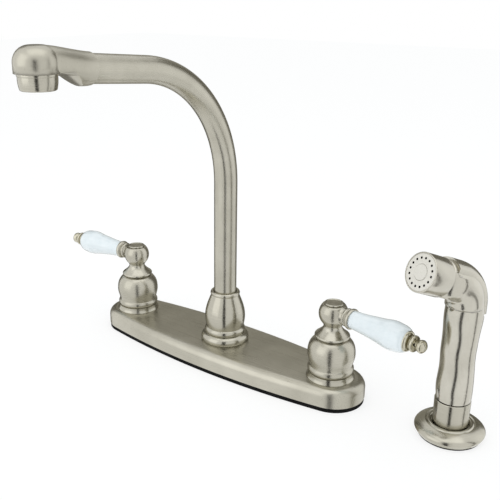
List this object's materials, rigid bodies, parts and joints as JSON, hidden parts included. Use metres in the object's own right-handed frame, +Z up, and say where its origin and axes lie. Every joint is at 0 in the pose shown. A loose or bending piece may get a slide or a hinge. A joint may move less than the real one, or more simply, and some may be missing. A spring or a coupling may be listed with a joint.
{
  "type": "side spray kitchen faucet",
  "caption": "Deck-mounted kitchen faucet with a hollow base plate, bell-shaped escutcheons, porcelain lever handles, a high swivel spout and a side sprayer in its holder.",
  "frame": {"origin": "centre of the base on the top of the sink deck, under the spout's axis", "axes": "+X to the user's right, -Y towards the user and along the spout at rest, +Z up"},
  "size_m": [0.3976, 0.2177, 0.3183],
  "materials": {
    "brushed_nickel": "satin nickel plate, warm grey, fine brushed sheen",
    "polished_nickel": "polished nickel, slightly warm",
    "porcelain": "white gloss glaze, slightly cool",
    "brass": "plain machined brass, unplated",
    "steel": "zinc-plated steel",
    "black_rubber": "matte black rubber",
    "disc_ceramic": "lapped technical ceramic",
    "pale_plastic": "off-white moulded plastic",
    "nylon": "natural nylon"
  },
  "bodies": {
    "base": {"deck_plate": "brushed_nickel", "deck_gasket": "black_rubber", "waterway_body": "brass", "sprayer_outlet": "brass", "deck_washers": "steel", "deck_lock_nuts": "steel", "diverter_seat": "brass", "seat_seals": "black_rubber", "fixed_discs": "disc_ceramic", "plate_nuts": "brass", "spout_flange": "brushed_nickel", "spout_nut": "brushed_nickel", "glide_ring": "nylon", "holder_flange": "brushed_nickel", "holder_gasket": "black_rubber", "holder_shank": "nylon", "holder_nut": "nylon", "left_inlet_shank": "brass", "right_inlet_shank": "brass", "left_cartridge": "brass", "right_cartridge": "brass", "left_base_ring": "brushed_nickel", "right_base_ring": "brushed_nickel", "left_bell": "brushed_nickel", "right_bell": "brushed_nickel"},
    "spout": {"spout_tube": "brushed_nickel", "spout_foot": "brass", "spout_o_rings": "black_rubber", "spout_nose": "brushed_nickel", "aerator_housing": "brushed_nickel", "aerator_screen": "nylon", "aerator_washer": "black_rubber"},
    "left_handle": {"left_handle_hub": "brushed_nickel", "left_handle_screw": "steel", "left_index_cap": "brushed_nickel", "left_lever_ferrule": "brushed_nickel", "left_porcelain_lever": "porcelain", "left_lever_finial": "polished_nickel", "left_valve_stem": "brass", "left_moving_disc": "disc_ceramic"},
    "right_handle": {"right_handle_hub": "brushed_nickel", "right_handle_screw": "steel", "right_index_cap": "brushed_nickel", "right_lever_ferrule": "brushed_nickel", "right_porcelain_lever": "porcelain", "right_lever_finial": "polished_nickel", "right_valve_stem": "brass", "right_moving_disc": "disc_ceramic"},
    "diverter": {"diverter_plunger": "nylon"},
    "handset": {"handset_body": "brushed_nickel", "handset_sleeve": "brushed_nickel", "hose_connector": "brass", "spray_ring": "brushed_nickel", "spray_face": "pale_plastic", "face_button": "pale_plastic", "trigger_pins": "steel"},
    "trigger": {"trigger": "brushed_nickel"},
    "plunger": {"valve_plunger": "nylon"}
  },
  "joints": [
    {"name": "spout_swivel", "type": "hinge", "parent": "base", "child": "spout", "pos_m": [0, 0, 0], "axis": [0, 0, 1], "continuous": true},
    {"name": "left_handle_turn", "type": "hinge", "parent": "base", "child": "left_handle", "pos_m": [-0.1016, 0, 0], "axis": [0, 0, 1], "range_deg": [0, 90]},
    {"name": "right_handle_turn", "type": "hinge", "parent": "base", "child": "right_handle", "pos_m": [0.1016, 0, 0], "axis": [0, 0, 1], "range_deg": [-90, 0]},
    {"name": "diverter_lift", "type": "slide", "parent": "base", "child": "diverter", "axis": [0, 0, 1], "range_m": [0, 0.0025]},
    {"name": "sprayer_lift", "type": "slide", "parent": "base", "child": "handset", "axis": [0, 0, 1], "range_m": [0, 0.2]},
    {"name": "trigger_press", "type": "hinge", "parent": "handset", "child": "trigger", "pos_m": [0.18591, -0.00663, 0.12358], "axis": [-0.9063, 0.4226, 0], "range_deg": [0, 4], "stiffness_Nm_per_rad": 2, "springref_deg": -1.15},
    {"name": "plunger_push", "type": "slide", "parent": "handset", "child": "plunger", "axis": [-0.4226, -0.9063, 0], "range_m": [0, 0.00197]}
  ],
  "couplings": [
    {"joint": "plunger_push", "follows": "trigger_press", "m_per_rad": 0.02678}
  ]
}
